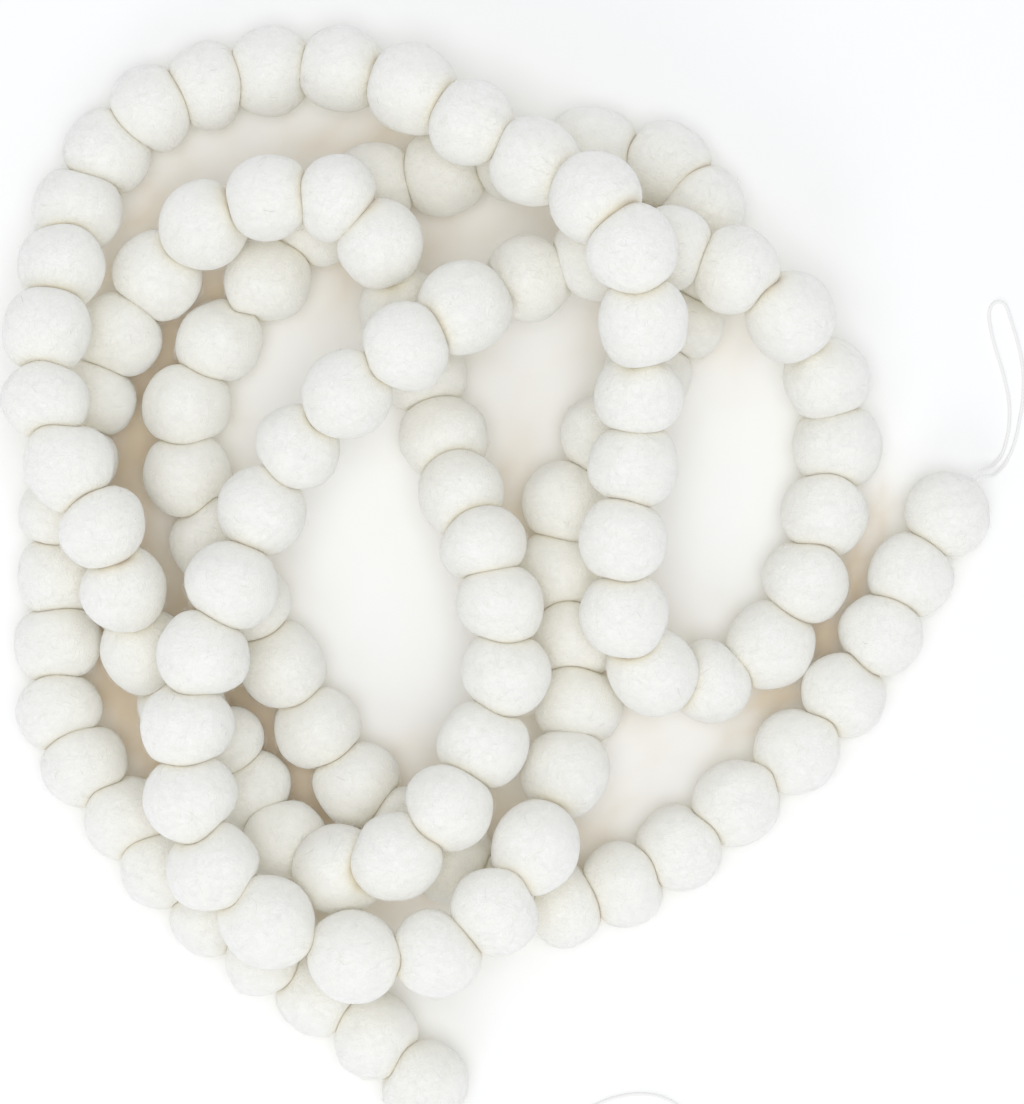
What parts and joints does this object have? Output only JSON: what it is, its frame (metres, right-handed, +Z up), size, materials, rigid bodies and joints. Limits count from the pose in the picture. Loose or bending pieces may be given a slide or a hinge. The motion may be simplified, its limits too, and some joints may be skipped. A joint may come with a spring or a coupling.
{
  "type": "felt ball garland",
  "caption": "Long string of pressed off-white wool felt balls with a thread hanging loop at each end, lying in a loose heap of overlapping loops.",
  "frame": {"origin": "on the floor under the middle of the heap's plan, measured without the thread loops", "axes": "+Z up from the floor; +Y towards the top of the picture, the heap's longer side; +X towards the picture's right"},
  "size_m": [0.2906, 0.3271, 0.0725],
  "materials": {
    "wool_felt": "matte off-white wool felt, faintly fibrous, with a soft halo of loose fibres",
    "thread": "fine matte white twisted thread"
  },
  "bodies": {
    "root": {"ball_run_01": "wool_felt", "ball_run_02": "wool_felt", "ball_run_03": "wool_felt", "ball_run_04": "wool_felt", "ball_run_05": "wool_felt", "ball_run_06": "wool_felt", "ball_run_07": "wool_felt", "ball_run_08": "wool_felt", "ball_run_09": "wool_felt", "ball_run_10": "wool_felt", "ball_run_11": "wool_felt", "ball_run_12": "wool_felt", "ball_run_13": "wool_felt", "ball_run_14": "wool_felt", "ball_run_15": "wool_felt", "ball_run_16": "wool_felt", "ball_run_17": "wool_felt", "ball_run_18": "wool_felt", "ball_run_19": "wool_felt", "ball_run_20": "wool_felt", "ball_run_21": "wool_felt", "ball_run_22": "wool_felt", "ball_run_23": "wool_felt", "ball_run_24": "wool_felt", "ball_run_25": "wool_felt", "ball_run_26": "wool_felt", "ball_run_27": "wool_felt", "ball_run_28": "wool_felt", "ball_run_29": "wool_felt", "ball_run_30": "wool_felt", "ball_run_31": "wool_felt", "ball_run_32": "wool_felt", "ball_run_33": "wool_felt", "ball_run_34": "wool_felt", "ball_run_35": "wool_felt", "ball_run_36": "wool_felt", "ball_run_37": "wool_felt", "ball_run_38": "wool_felt", "ball_run_39": "wool_felt", "ball_run_40": "wool_felt", "ball_run_41": "wool_felt", "thread_loop_start": "thread", "thread_loop_end": "thread"}
  },
  "joints": []
}
